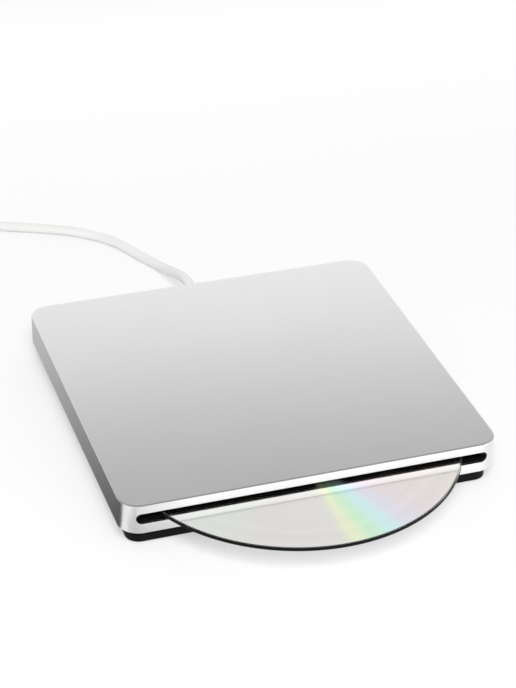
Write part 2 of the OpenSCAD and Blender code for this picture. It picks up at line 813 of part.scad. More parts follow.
// The winding fades out towards both ends of the thread
function thread_fade(i) = thread_off * min(1, i / thread_steps, (thread_rings - i) / thread_steps);
thread_points = [
  for (i = [0:thread_rings])
    [screw_from + i * screw_lead / thread_steps,
     thread_fade(i) * cos(360 * i / thread_steps),
     thread_fade(i) * sin(360 * i / thread_steps)]
];

module lead_screw() {
  from = screw_motor_face - 1.5;
  color([0.7, 0.68, 0.6]) on_traverse() translate([0, screw_y, rod_z]) {
    tube(thread_points, screw_r - thread_off, 6);
    bar_x(0, 0, screw_core_r, from, screw_from + 0.6);
    bar_x(0, 0, screw_core_r, thread_points[thread_rings][0] - 0.6, screw_bearing_x + 2);
  }
}

module screw_bearing() {
  color([0.12, 0.12, 0.12]) on_traverse() difference() {
    box([screw_bearing_x, screw_y - 2, frame_top], [screw_bearing_x + 2, screw_y + 2, rod_z + 1.6]);
    bar_x(screw_y, rod_z, screw_core_r + run_play, screw_bearing_x - cut, screw_bearing_x + 2 + cut);
  }
}

module pickup_sled() {
  from = lens_at - sled_back;
  color([0.58, 0.56, 0.5]) on_traverse() difference() {
    box([from, sub_rod_y - 2.2, sled_z], [from + sled_len, main_rod_y + 2, sled_top]);
    box([lens_at - 4, -4.6, sled_z + 0.6], [lens_at + 4, 4.6, sled_top + cut]);
    bar_x(main_rod_y, rod_z, rod_r + run_play, from - cut, from + sled_len + cut);
    bar_x(sub_rod_y, rod_z, sub_rod_r + run_play, from - cut, from + sled_len + cut);
  }
}

module sled_nut() {
  from = lens_at - sled_back + 1;
  color([0.85, 0.85, 0.82]) on_traverse()
    box([from, main_rod_y + 2, sled_z + 0.3], [from + 6, screw_y - screw_r - 0.1, sled_top - 0.8]);
}

module lens_holder() {
  color([0.08, 0.08, 0.09]) on_traverse() difference() {
    box([lens_at - 3.4, -4, sled_z + 1.1], [lens_at + 3.4, 4, holder_top]);
    bar(lens_at, 0, lens_r, sled_z + 0.8, holder_top + cut);
  }
}

module objective_lens() {
  color([0.55, 0.65, 0.85]) on_traverse() bar(lens_at, 0, lens_r, holder_top - 0.8, holder_top + 0.3);
}

// Ribbon that carries the pickup wires, drawn from below the sled to the board
flex_z = floor_z + 0.2;
flex_t = 0.15;
flex_w = 10;
flex_y = 18;
flex_from = board_in + 3.5;
flex_to = lens_at * cos(traverse_turn) - 4.2;
module pickup_flex() {
  color([0.75, 0.5, 0.2]) {
    box([flex_from, flex_y, flex_z], [flex_to, flex_y + flex_w, flex_z + flex_t]);
    box([flex_to - flex_t, flex_y, flex_z], [flex_to, flex_y + flex_w, sled_z]);
  }
}

module flex_connector() {
  color([0.85, 0.82, 0.72]) 
    box([board_in, flex_y - 1, floor_z], [flex_from, flex_y + flex_w + 1, board_top + 0.2]);
}

module main_board() {
  color([0.05, 0.25, 0.12]) translate([0, 0, board_z]) linear_extrude(board_t) difference() {
    polygon([
      [board_out, board_front], [board_in, board_front], [board_in, board_step],
      [board_arm, board_step], [board_arm, board_rear], [board_out, board_rear]
    ]);
    for (p = board_posts) translate(p) circle(0.9);
  }
}

module board_chips() {
  color([0.1, 0.1, 0.1]) {
    box([board_out + 4, -18, board_top], [board_in - 7, -4, board_top + 1.2]);
    box([board_out + 7, 20, board_top], [board_in - 8, 30, board_top + 1]);
    box([board_out + 9, board_step - 10, board_top], [board_in - 10, board_step - 5, board_top + 0.9]);
  }
}

module board_capacitors() {
  color([0.7, 0.7, 0.72]) for (y = [4, 11])
    bar(board_out + 6, y, 2, board_top, board_top + 3.6);
}

module board_screws() {
  color([0.5, 0.5, 0.52]) for (p = board_posts) {
    bar(p[0], p[1], 0.65, floor_z + 0.1, board_top + 0.1);
    bar(p[0], p[1], 1.4, board_top, board_top + 0.5);
  }
}

module drive_connector() {
  color([0.06, 0.06, 0.06]) 
    box([link_from, link_meet - 7, board_top], [link_to, link_meet, board_top + link_h]);
}

module bridge_socket() {
  color([0.06, 0.06, 0.06]) 
    box([link_from, link_meet, board_top], [link_to, bridge_y, board_top + link_h]);
}

module bridge_board() {
  color([0.05, 0.2, 0.3]) 
    box([bridge_from, bridge_y, tub_floor_top], [bridge_to, bridge_y + bridge_t, bridge_top]);
}

module bridge_chips() {
  back = bridge_y + bridge_t;
  color([0.1, 0.1, 0.1]) {
    box([-14, back, 7.6], [-6, back + 1, 13]);
    box([-24, back, 8.5], [-19, back + 1, 11]);
  }
}

// Soft outlet that holds the cable in the back wall
module cable_gland() {
  inner = body_d / 2 - shell_wall;
  outer = body_d / 2;
  color([0.93, 0.93, 0.92]) translate([cord_x, 0, cord_z]) rotate([-90, 0, 0]) {
    translate([0, 0, gland_in]) cylinder(r = 3.9, h = inner - gland_in);
    translate([0, 0, inner - 0.1]) cylinder(r = gland_neck_r, h = outer - inner + 0.2);
    translate([0, 0, outer]) cylinder(r1 = 3.2, r2 = cord_r + 0.3, h = gland_end - outer);
  }
}

module cable_core() {
  color([0.8, 0.8, 0.8]) translate([cord_x, bridge_y + bridge_t, cord_z]) rotate([-90, 0, 0])
    cylinder(r = 1.4, h = gland_in - bridge_y - bridge_t);
}

module usb_cord() {
  color([0.95, 0.95, 0.94]) tube(cord_points, cord_r, 8);
}

module cord_coil() {
  color([0.95, 0.95, 0.94]) at_coil() tube(coil_points, cord_r, 6);
}

// Clip over the bundle at the far side of the coil
tie_half = 2.5;
tie_play = 0.4;
tie_wall = 0.7;
module cord_tie() {
  low = coil_r - coil_pitch / 2 - cord_r - tie_play;
  high = coil_r - coil_pitch / 2 + cord_r + tie_play;
  top = tail_high + cord_r + tie_play;
  color([0.12, 0.12, 0.12]) at_coil() translate([coil_lead, coil_r, 0]) difference() {
    box([-tie_half, low - tie_wall, 0.1], [tie_half, high + tie_wall, top + tie_wall]);
    box([-tie_half - cut, low, 0.1 - cut], [tie_half + cut, high, top]);
  }
}

module plug_body() {
  color([0.95, 0.95, 0.94]) at_coil() translate([plug_at, 0, plug_z]) rotate([90, 0, 90])
    linear_extrude(plug_len) rounded(plug_w, plug_h, 2);
}

// Metal sleeve of the plug: half width, half height, length and wall
shell_half = 6;
shell_up = 2.25;
shell_len = 12;
tin = 0.3;

module plug_shell() {
  color([0.75, 0.75, 0.77]) at_coil() translate([plug_at + plug_len, 0, plug_z]) difference() {
    box([0, -shell_half, -shell_up], [shell_len, shell_half, shell_up]);
    box([-cut, tin - shell_half, tin - shell_up], [shell_len + cut, shell_half - tin, shell_up - tin]);
  }
}

module plug_contacts() {
  color([0.9, 0.9, 0.9]) at_coil() translate([plug_at + plug_len, 0, plug_z])
    box([0, 0.1 + tin - shell_half, 0.05], [shell_len - 0.6, shell_half - tin - 0.1, shell_up - tin]);
}

module disc() {
  color([0.85, 0.86, 0.88]) translate([0, disc_y, disc_z]) difference() {
    cylinder(r = disc_d / 2, h = disc_t, $fn = 160);
    translate([0, 0, -cut]) cylinder(r = disc_hole / 2, h = disc_t + 2 * cut);
  }
}

top_shell();
base_tub();
base_pad();
dust_felt_upper();
dust_felt_lower();
slot_bezel();
drive_chassis();
drive_cover();
cover_screws();
mount_screws();
cover_pads();
disc_guide();
gear_axles();
loading_motor();
roller_springs();
roller_bracket();
roller_bushes();
roller_shaft();
roller_sleeves();
roller_gear();
idler_gear();
drive_wheel();
motor_pinion();
traverse_dampers();
traverse_screws();
traverse_frame();
spindle_plate();
spindle_stator();
turntable();
turntable_mat();
clamp_balls();
main_rod();
sub_rod();
sled_motor();
lead_screw();
screw_bearing();
pickup_sled();
sled_nut();
lens_holder();
objective_lens();
pickup_flex();
flex_connector();
main_board();
board_chips();
board_capacitors();
board_screws();
drive_connector();
bridge_socket();
bridge_board();
bridge_chips();
cable_gland();
cable_core();
usb_cord();
cord_coil();
cord_tie();
plug_body();
plug_shell();
plug_contacts();
disc();
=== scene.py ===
import bpy
import bmesh
import json
import math
from mathutils import Matrix, Vector


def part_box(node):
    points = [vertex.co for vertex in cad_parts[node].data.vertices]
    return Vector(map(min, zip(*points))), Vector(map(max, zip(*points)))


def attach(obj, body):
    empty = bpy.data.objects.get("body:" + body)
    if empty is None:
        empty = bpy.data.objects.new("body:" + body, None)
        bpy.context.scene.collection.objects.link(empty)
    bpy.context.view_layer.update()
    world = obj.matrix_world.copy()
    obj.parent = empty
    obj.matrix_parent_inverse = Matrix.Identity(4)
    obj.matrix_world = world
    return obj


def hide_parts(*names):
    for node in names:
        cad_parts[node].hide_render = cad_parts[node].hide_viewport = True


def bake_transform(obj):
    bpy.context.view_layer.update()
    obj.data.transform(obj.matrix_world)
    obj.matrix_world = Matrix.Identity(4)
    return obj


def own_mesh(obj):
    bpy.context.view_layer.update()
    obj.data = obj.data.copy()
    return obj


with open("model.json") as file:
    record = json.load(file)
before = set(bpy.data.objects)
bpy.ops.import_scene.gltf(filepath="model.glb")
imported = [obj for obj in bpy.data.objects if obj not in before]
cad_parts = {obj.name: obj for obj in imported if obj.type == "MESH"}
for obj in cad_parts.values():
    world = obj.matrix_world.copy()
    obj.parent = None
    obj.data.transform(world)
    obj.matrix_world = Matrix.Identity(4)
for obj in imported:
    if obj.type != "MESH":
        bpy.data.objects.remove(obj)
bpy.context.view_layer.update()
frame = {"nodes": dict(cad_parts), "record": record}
nodes = frame["nodes"]
scene = bpy.context.scene
scene.view_settings.view_transform = "Standard"
mm = 0.001
print("frame loaded:", len(nodes), "nodes")


# Camera at the photograph's viewing angle
cameraSet = {
    "place": (-0.214865, -0.629659, 0.438501),
    "azimuth": -18.9706,
    "elevation": 31.6138,
    "roll": 1.0426,
    "lens": 112.57,
    "sensor": 36.0,
    "nearest": 0.01,
}


def makeCamera(s):
    turn, tilt, roll = (math.radians(s[k]) for k in ("azimuth", "elevation", "roll"))
    back = Vector((math.sin(turn) * math.cos(tilt), -math.cos(turn) * math.cos(tilt), math.sin(tilt)))
    right = (-back).cross(Vector((0, 0, 1))).normalized()
    up = right.cross(-back)
    side = right * math.cos(roll) + up * math.sin(roll)
    top = up * math.cos(roll) - right * math.sin(roll)
    lensData = bpy.data.cameras.new("photoCamera")
    lensData.lens = s["lens"]
    lensData.sensor_width = s["sensor"]
    lensData.clip_start = s["nearest"]
    camera = bpy.data.objects.new("photoCamera", lensData)
    scene.collection.objects.link(camera)
    turned = Matrix((side, top, back)).transposed().to_4x4()
    camera.matrix_world = Matrix.Translation(s["place"]) @ turned
    scene.camera = camera


makeCamera(cameraSet)
print("camera set")


# Helpers for node trees
def setInputs(tree, node, inputs):
    for key, value in inputs.items():
        if isinstance(value, bpy.types.NodeSocket):
            tree.links.new(value, node.inputs[key])
        else:
            node.inputs[key].default_value = value


def put(tree, kind, inputs=None, **settings):
    node = tree.nodes.new(kind)
    for key, value in settings.items():
        setattr(node, key, value)
    setInputs(tree, node, inputs or {})
    return node


def newFinish(name):
    finish = bpy.data.materials.new(name)
    finish.use_nodes = True
    return finish, finish.node_tree, finish.node_tree.nodes["Principled BSDF"]


def opaque(colour):
    return (*colour, 1)


def ownCoords(tree):
    return put(tree, "ShaderNodeTexCoord").outputs["Object"]


def noise(tree, vector, scale, detail):
    return put(tree, "ShaderNodeTexNoise", {"Vector": vector, "Scale": scale, "Detail": detail}).outputs[0]


def mixColours(tree, share, first, second, **settings):
    inputs = {"Fac": share, "Color1": first, "Color2": second}
    return put(tree, "ShaderNodeMixRGB", inputs, **settings).outputs[0]


def spread(tree, value, low, high, start=0.0, end=1.0, **settings):  # start to end becomes low to high
    inputs = {"Value": value, "From Min": start, "From Max": end, "To Min": low, "To Max": high}
    return put(tree, "ShaderNodeMapRange", inputs, **settings).outputs[0]


# Helpers for meshes and pieces
def looseObject(name, data):
    made = bpy.data.objects.new(name, data)
    scene.collection.objects.link(made)
    return made


def placePiece(name, data, body, stands=()):
    piece = looseObject(name, data)
    if body:
        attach(piece, body)
    if stands:
        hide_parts(*stands)
    return piece


def plainMesh(name, bm):
    mesh = bpy.data.meshes.new(name)
    bm.to_mesh(mesh)
    bm.free()
    return mesh


def outwardMesh(name, bm):
    bmesh.ops.recalc_face_normals(bm, faces=bm.faces)
    return plainMesh(name, bm)


def evaluatedMesh(work):  # the mesh with its modifiers carried out
    return bpy.data.meshes.new_from_object(work.evaluated_get(bpy.context.evaluated_depsgraph_get()))


def shadeByAngle(mesh, degrees):  # smooth, with sharp edges past that angle
    mesh.shade_smooth()
    mesh.set_sharp_from_angle(angle=math.radians(degrees))


def dressMesh(mesh, finish, degrees):
    shadeByAngle(mesh, degrees)
    mesh.materials.clear()
    mesh.materials.append(finish)


def loopAt(bm, points):
    return [bm.verts.new(Vector(p) * mm) for p in points]


def bridgeLoops(bm, lower, upper, finishIndex=0):
    count = len(lower)
    for i in range(count):
        j = (i + 1) % count
        face = bm.faces.new((lower[i], lower[j], upper[j], upper[i]))
        face.material_index = finishIndex


def closedTube(bm, loops):  # walls between the loops, and a cap on each end
    for lower, upper in zip(loops, loops[1:]):
        bridgeLoops(bm, lower, upper)
    bm.faces.new(loops[0])
    bm.faces.new(loops[-1])


def closedRing(bm, loops, finishIndices=None):  # the last loop joins the first
    for k, (lower, upper) in enumerate(zip(loops, loops[1:] + loops[:1])):
        bridgeLoops(bm, lower, upper, finishIndices[k] if finishIndices else 0)


def roundedOutline(wide, high, corner, steps):  # half width, half height
    outline = []
    for quarter in range(4):
        turn = math.pi / 2 * quarter
        cu = math.copysign(wide - corner, math.cos(turn + math.pi / 4))
        cv = math.copysign(high - corner, math.sin(turn + math.pi / 4))
        for i in range(steps + 1):
            a = turn + math.pi / 2 * i / steps
            outline.append((cu + corner * math.cos(a), cv + corner * math.sin(a)))
    return outline


def circleOutline(u, v, r, steps):
    angles = [2 * math.pi * i / steps for i in range(steps)]
    return [(u + r * math.cos(a), v + r * math.sin(a)) for a in angles]


def stadium(wide, high, low, steps):
    r = high / 2
    outline = []
    for side, start in ((1, -90), (-1, 90)):
        for i in range(steps + 1):
            a = math.radians(start + 180 * i / steps)
            outline.append((side * (wide / 2 - r) + r * math.cos(a), low + r + r * math.sin(a)))
    return outline


def prismAlongY(name, outline, y0, y1):
    bm = bmesh.new()
    closedTube(bm, [loopAt(bm, [(x, y, z) for x, z in outline]) for y in (y0, y1)])
    return looseObject(name, outwardMesh(name, bm))


def cutWith(target, cutter):
    cut = target.modifiers.new("cut", "BOOLEAN")
    cut.object = cutter
    cut.operation = "DIFFERENCE"
    cut.solver = "EXACT"
    made = evaluatedMesh(target)
    target.modifiers.remove(cut)
    target.data = made
    bpy.data.objects.remove(cutter)


def takeMesh(name, work):
    mesh = work.data
    bpy.data.objects.remove(work)
    mesh.name = name
    return mesh


# General finish: fine grain for bump and gloss, broad patches for colour
plainGrain = {"stretch": (1, 1, 1), "depth": 0.00005, "metal": 0.0, "constants": {},
              "fineDetail": 3.0, "broadDetail": 2.0}


def grainFinish(name, own):
    s = plainGrain | own
    finish, tree, shader = newFinish(name)
    coords = ownCoords(tree)
    stretched = put(tree, "ShaderNodeMapping", {"Vector": coords, "Scale": s["stretch"]}).outputs[0]
    fine = noise(tree, stretched, s["grain"], s["fineDetail"])
    broad = noise(tree, coords, s["patch"], s["broadDetail"])
    relief = {"Height": fine, "Strength": s["bump"], "Distance": s["depth"]}
    setInputs(tree, shader, {
        "Base Color": mixColours(tree, broad, opaque(s["dark"]), opaque(s["light"])),
        "Roughness": spread(tree, fine, *s["rough"]),
        "Normal": put(tree, "ShaderNodeBump", relief).outputs[0],
        "Metallic": s["metal"],
    })
    setInputs(tree, shader, s["constants"])
    return finish


finishSet = {
    "aluminium_shell": {
        "dark": (0.81, 0.81, 0.815), "light": (0.85, 0.85, 0.855), "metal": 1.0, "rough": (0.27, 0.35),
        "grain": 2600, "patch": 26, "bump": 0.10, "depth": 0.00002},
    "black_plastic": {
        "dark": (0.003, 0.003, 0.0033), "light": (0.006, 0.006, 0.0064), "rough": (0.42, 0.60),
        "grain": 2200, "patch": 60, "bump": 0.22, "depth": 0.00003,
        "constants": {"Specular IOR Level": 0.08}},
    "black_rubber": {
        "dark": (0.012, 0.012, 0.012), "light": (0.022, 0.022, 0.021), "rough": (0.70, 0.88),
        "grain": 1500, "patch": 45, "bump": 0.30, "depth": 0.00004},
    "black_felt": {
        "dark": (0.0015, 0.0015, 0.0015), "light": (0.004, 0.004, 0.004), "rough": (0.92, 1.0),
        "grain": 1800, "patch": 300, "bump": 0.9, "depth": 0.0002, "stretch": (1, 0.3, 0.6),
        "constants": {"Sheen Weight": 0.01, "Specular IOR Level": 0.05}},
    "sheet_steel": {
        "dark": (0.46, 0.47, 0.48), "light": (0.56, 0.57, 0.58), "metal": 1.0, "rough": (0.24, 0.42),
        "grain": 900, "patch": 40, "bump": 0.05, "stretch": (0.08, 1, 1)},
    "bright_steel": {
        "dark": (0.58, 0.58, 0.60), "light": (0.66, 0.66, 0.68), "metal": 1.0, "rough": (0.14, 0.26),
        "grain": 1400, "patch": 90, "bump": 0.05, "stretch": (1, 0.1, 1)},
    "motor_can": {
        "dark": (0.44, 0.44, 0.46), "light": (0.54, 0.54, 0.56), "metal": 1.0, "rough": (0.26, 0.42),
        "grain": 1600, "patch": 80, "bump": 0.06, "stretch": (0.1, 1, 1)},
    "gear_plastic": {
        "dark": (0.74, 0.72, 0.64), "light": (0.82, 0.80, 0.72), "rough": (0.34, 0.46),
        "grain": 1200, "patch": 120, "bump": 0.08},
    "brass_parts": {
        "dark": (0.62, 0.46, 0.20), "light": (0.74, 0.57, 0.28), "metal": 1.0, "rough": (0.20, 0.36),
        "grain": 1500, "patch": 110, "bump": 0.06, "stretch": (1, 1, 0.1)},
    "copper_winding": {
        "dark": (0.42, 0.17, 0.07), "light": (0.62, 0.30, 0.14), "metal": 1.0, "rough": (0.22, 0.34),
        "grain": 3000, "patch": 200, "bump": 0.5, "depth": 0.0001, "stretch": (0.1, 0.1, 2)},
    "cast_sled": {
        "dark": (0.40, 0.39, 0.37), "light": (0.50, 0.49, 0.46), "metal": 1.0, "rough": (0.46, 0.64),
        "grain": 1100, "patch": 140, "bump": 0.22},
    "lens_glass": {
        "dark": (0.62, 0.70, 0.88), "light": (0.70, 0.78, 0.94), "rough": (0.02, 0.05),
        "grain": 400, "patch": 250, "bump": 0.01, "constants": {"Transmission Weight": 0.9, "IOR": 1.5}},
    "amber_film": {
        "dark": (0.52, 0.25, 0.05), "light": (0.66, 0.36, 0.10), "rough": (0.22, 0.34),
        "grain": 700, "patch": 90, "bump": 0.05},
    "chip_black": {
        "dark": (0.016, 0.016, 0.017), "light": (0.030, 0.030, 0.031), "rough": (0.48, 0.66),
        "grain": 2600, "patch": 160, "bump": 0.20},
    "can_aluminium": {
        "dark": (0.62, 0.62, 0.64), "light": (0.72, 0.72, 0.74), "metal": 1.0, "rough": (0.24, 0.40),
        "grain": 1300, "patch": 150, "bump": 0.05, "stretch": (0.1, 1, 1)},
    "white_cable": {
        "dark": (0.76, 0.76, 0.75), "light": (0.83, 0.83, 0.82), "rough": (0.36, 0.50),
        "grain": 1500, "patch": 55, "bump": 0.10, "depth": 0.00003},
    "gold_strips": {
        "dark": (0.72, 0.52, 0.20), "light": (0.82, 0.62, 0.28), "metal": 1.0, "rough": (0.14, 0.24),
        "grain": 1500, "patch": 200, "bump": 0.04, "stretch": (0.1, 1, 1)},
    "contact_block": {
        "dark": (0.70, 0.70, 0.69), "light": (0.78, 0.78, 0.77), "rough": (0.30, 0.42),
        "grain": 1200, "patch": 120, "bump": 0.06},
}
finishes = {name: grainFinish(name, s) for name, s in finishSet.items()}


# Circuit board: lacquer over tracks that run along a fine grid
boardSet = {
    "mask": (0.012, 0.105, 0.040), "track": (0.030, 0.190, 0.080), "rough": 0.3,
    "pitch": 420.0, "gap": 0.12, "run": 3.0, "shift": 0.37, "squash": 0.6, "bump": 0.3, "depth": 0.00004,
}


def boardFinish(s):
    finish, tree, shader = newFinish("green_board")
    white, black = (1, 1, 1, 1), (0, 0, 0, 1)
    grid = {"Vector": ownCoords(tree), "Scale": s["pitch"], "Color1": white, "Color2": white, "Mortar": black,
            "Mortar Size": s["gap"], "Brick Width": s["run"]}
    tracks = put(tree, "ShaderNodeTexBrick", grid, offset=s["shift"], squash=s["squash"]).outputs[0]
    relief = {"Height": tracks, "Strength": s["bump"], "Distance": s["depth"]}
    setInputs(tree, shader, {
        "Base Color": mixColours(tree, tracks, opaque(s["mask"]), opaque(s["track"])),
        "Normal": put(tree, "ShaderNodeBump", relief).outputs[0],
        "Roughness": s["rough"],
    })
    return finish


finishes["green_board"] = boardFinish(boardSet)
print("finishes made:", len(finishes))


# Cable: out of the gland, down to the table, then wound up beside the view
cordSet = {
    "thick": 0.004, "length": 0.466, "roundness": 6, "smoothing": 4,
    "exit": (-1, 74.5, 11),
    "route": [
        (-1, 74.5, 11), (-1, 78.7, 11), (-1, 84.5, 10.1), (-1.1, 90, 8.5), (-1.5, 95.5, 6.6),
        (-2.2, 101, 4.8), (-3.2, 106.5, 3.2), (-4.8, 112.3, 2.25), (-8.1, 119.3, 2.05), (-11.7, 127, 2.05),
        (-16, 135.4, 2.05), (-23.4, 144, 2.05), (-33, 151, 2.05), (-44, 156.6, 2.05), (-55.5, 161.6, 2.05),
        (-67, 166.2, 2.05), (-78, 170.3, 2.05),
    ],
    "coilAt": (-82, 171.7, 0), "coilTurn": math.atan2(1.4, -4),
    "lie": 2.05,  # height of the cable's middle on the table
    "leadIn": (0, 4), "coilStart": 6, "coilRadius": 25.0, "turns": 2, "turnPoints": 24,
    "pitch": 4.6, "climbFrom": 0.75, "climbOver": 0.5,  # the climb, in turns
    "tail": [(15, 0, 6.15), (24, 0, 5.0), (32, 0, 4.1), (40, 0, 4.1)],
}
coilFrame = Matrix.Translation(Vector(cordSet["coilAt"]) * mm) @ Matrix.Rotation(cordSet["coilTurn"], 4, "Z")


def coilPoints(s):  # spirals in and out again, and climbs a layer where it turns back
    points = [(x, 0, s["lie"]) for x in s["leadIn"]]
    for i in range(s["turns"] * s["turnPoints"] + 1):
        t = i / s["turnPoints"]
        a = 2 * math.pi * t
        radius = s["coilRadius"] - s["pitch"] * (1 - abs(1 - t))
        rise = min(max((t - s["climbFrom"]) / s["climbOver"], 0), 1)
        lift = s["lie"] + s["pitch"] * rise * rise * (3 - 2 * rise)
        points.append((s["coilStart"] + radius * math.sin(a), s["coilRadius"] - radius * math.cos(a), lift))
    return points + s["tail"]


def smoothLine(points, steps):
    line = []
    for i in range(len(points) - 1):
        p0, p1, p2, p3 = (points[min(max(k, 0), len(points) - 1)] for k in (i - 1, i, i + 1, i + 2))
        for j in range(steps):
            t = j / steps
            line.append(0.5 * (2 * p1 + (p2 - p0) * t + (2 * p0 - 5 * p1 + 4 * p2 - p3) * t * t
                               + (3 * p1 - p0 - 3 * p2 + p3) * t * t * t))
    return line + [points[-1]]


def makeCord(s):
    free = [Vector(p) * mm for p in s["route"]]
    wound = [coilFrame @ (Vector(p) * mm) for p in coilPoints(s)]
    line = smoothLine(free + wound, s["smoothing"])
    curve = bpy.data.curves.new("usbCable", "CURVE")
    curve.dimensions = "3D"
    curve.bevel_depth = s["thick"] / 2
    curve.bevel_resolution = s["roundness"]
    curve.use_fill_caps = True
    spline = curve.splines.new("POLY")
    spline.points.add(len(line) - 1)
    for point, place in zip(spline.points, line):
        point.co = (*place, 1)
    spline.use_smooth = True
    curve.materials.append(finishes["white_cable"])
    cable = placePiece("usbCable", curve, "case", ("usb_cord", "cord_coil"))
    print("cable length", round(sum((b - a).length for a, b in zip(line, line[1:])), 4))
    return cable


cable = makeCord(cordSet)


# Metal shell: rounded square with a small edge radius, wall, slot and cable hole
shellSet = {
    "half": 68.5, "low": 5.7, "top": 17.0, "corner": 7.6, "cornerSteps": 22, "wall": 1.5,
    "edge": 0.5, "edgeSteps": 8, "foot": 0.2,
    "aboveFoot": 0.5, "belowEdge": 0.3, "insideEdge": 0.4,  # rings that keep the flat faces flat
    "slotWide": 127.4, "slotHigh": 4.1, "slotLow": 9.6, "slotSteps": 24, "slotEdge": 0.14, "slotEdgeSteps": 2,
    "lipNear": 0.1, "lipDeep": 2.1, "lipAngle": 0.9, "lipFront": -0.6, "lipSide": 0.05,
    "hole": 2.8, "holeAt": (-1, 11), "holeSteps": 40,
    "cut": (60, 80),  # how far from the middle the slot and the hole are cut
    "merge": 1e-6, "sharpFrom": 34,
}


def shellRings(s):  # half width, corner radius and height, from the inner roof round to the top
    half, corner, low, top, edge = (s[k] for k in ("half", "corner", "low", "top", "edge"))
    inHalf, inCorner = half - s["wall"], corner - s["wall"]
    rings = [(inHalf, inCorner, top - s["wall"]), (inHalf, inCorner, low)]
    rings += [(half - s["foot"], corner - s["foot"], low), (half, corner, low + s["foot"])]
    rings += [(half, corner, low + s["aboveFoot"]), (half, corner, top - edge - s["belowEdge"])]
    for i in range(s["edgeSteps"] + 1):
        a = math.pi / 2 * i / s["edgeSteps"]
        into = edge * (1 - math.cos(a))
        rings.append((half - into, corner - into, top - edge * (1 - math.sin(a))))
    into = edge + s["insideEdge"]
    return rings + [(half - into, corner - into, top)]


def slotLips(bm, s):  # sharp edges round the slot with a face towards the front
    deep = -(s["half"] - s["lipDeep"]) * mm
    low = (s["slotLow"] - s["lipNear"]) * mm
    high = (s["slotLow"] + s["slotHigh"] + s["lipNear"]) * mm
    lips = []
    for edge in bm.edges:
        around = all(v.co.y < deep and low < v.co.z < high for v in edge.verts)
        if around and edge.calc_face_angle(0) > s["lipAngle"]:
            normals = [face.normal for face in edge.link_faces]
            if any(n.y < s["lipFront"] or n.y < 0 and abs(n.x) > s["lipSide"] for n in normals):
                lips.append(edge)
    return lips


def makeShell(s):
    bm = bmesh.new()
    loops = []
    for half, corner, z in shellRings(s):
        outline = roundedOutline(half, half, corner, s["cornerSteps"])
        loops.append(loopAt(bm, [(x, y, z) for x, y in outline]))
    closedTube(bm, loops)
    shell = looseObject("shellWork", outwardMesh("shellWork", bm))
    slot = stadium(s["slotWide"], s["slotHigh"], s["slotLow"], s["slotSteps"])
    hole = circleOutline(*s["holeAt"], s["hole"], s["holeSteps"])
    near, far = s["cut"]
    cutWith(shell, prismAlongY("slotCut", slot, -far, -near))
    cutWith(shell, prismAlongY("holeCut", hole, near, far))
    mesh = takeMesh("metalShell", shell)
    bm = bmesh.new()
    bm.from_mesh(mesh)
    bmesh.ops.remove_doubles(bm, verts=bm.verts, dist=s["merge"])
    bmesh.ops.bevel(bm, geom=slotLips(bm, s), offset=s["slotEdge"] * mm, segments=s["slotEdgeSteps"],
                    profile=0.5, affect="EDGES", clamp_overlap=True)
    bm.to_mesh(mesh)
    bm.free()
    dressMesh(mesh, finishes["aluminium_shell"], s["sharpFrom"])
    return placePiece("metalShell", mesh, "case", ("top_shell",))


makeShell(shellSet)
print("shell made")


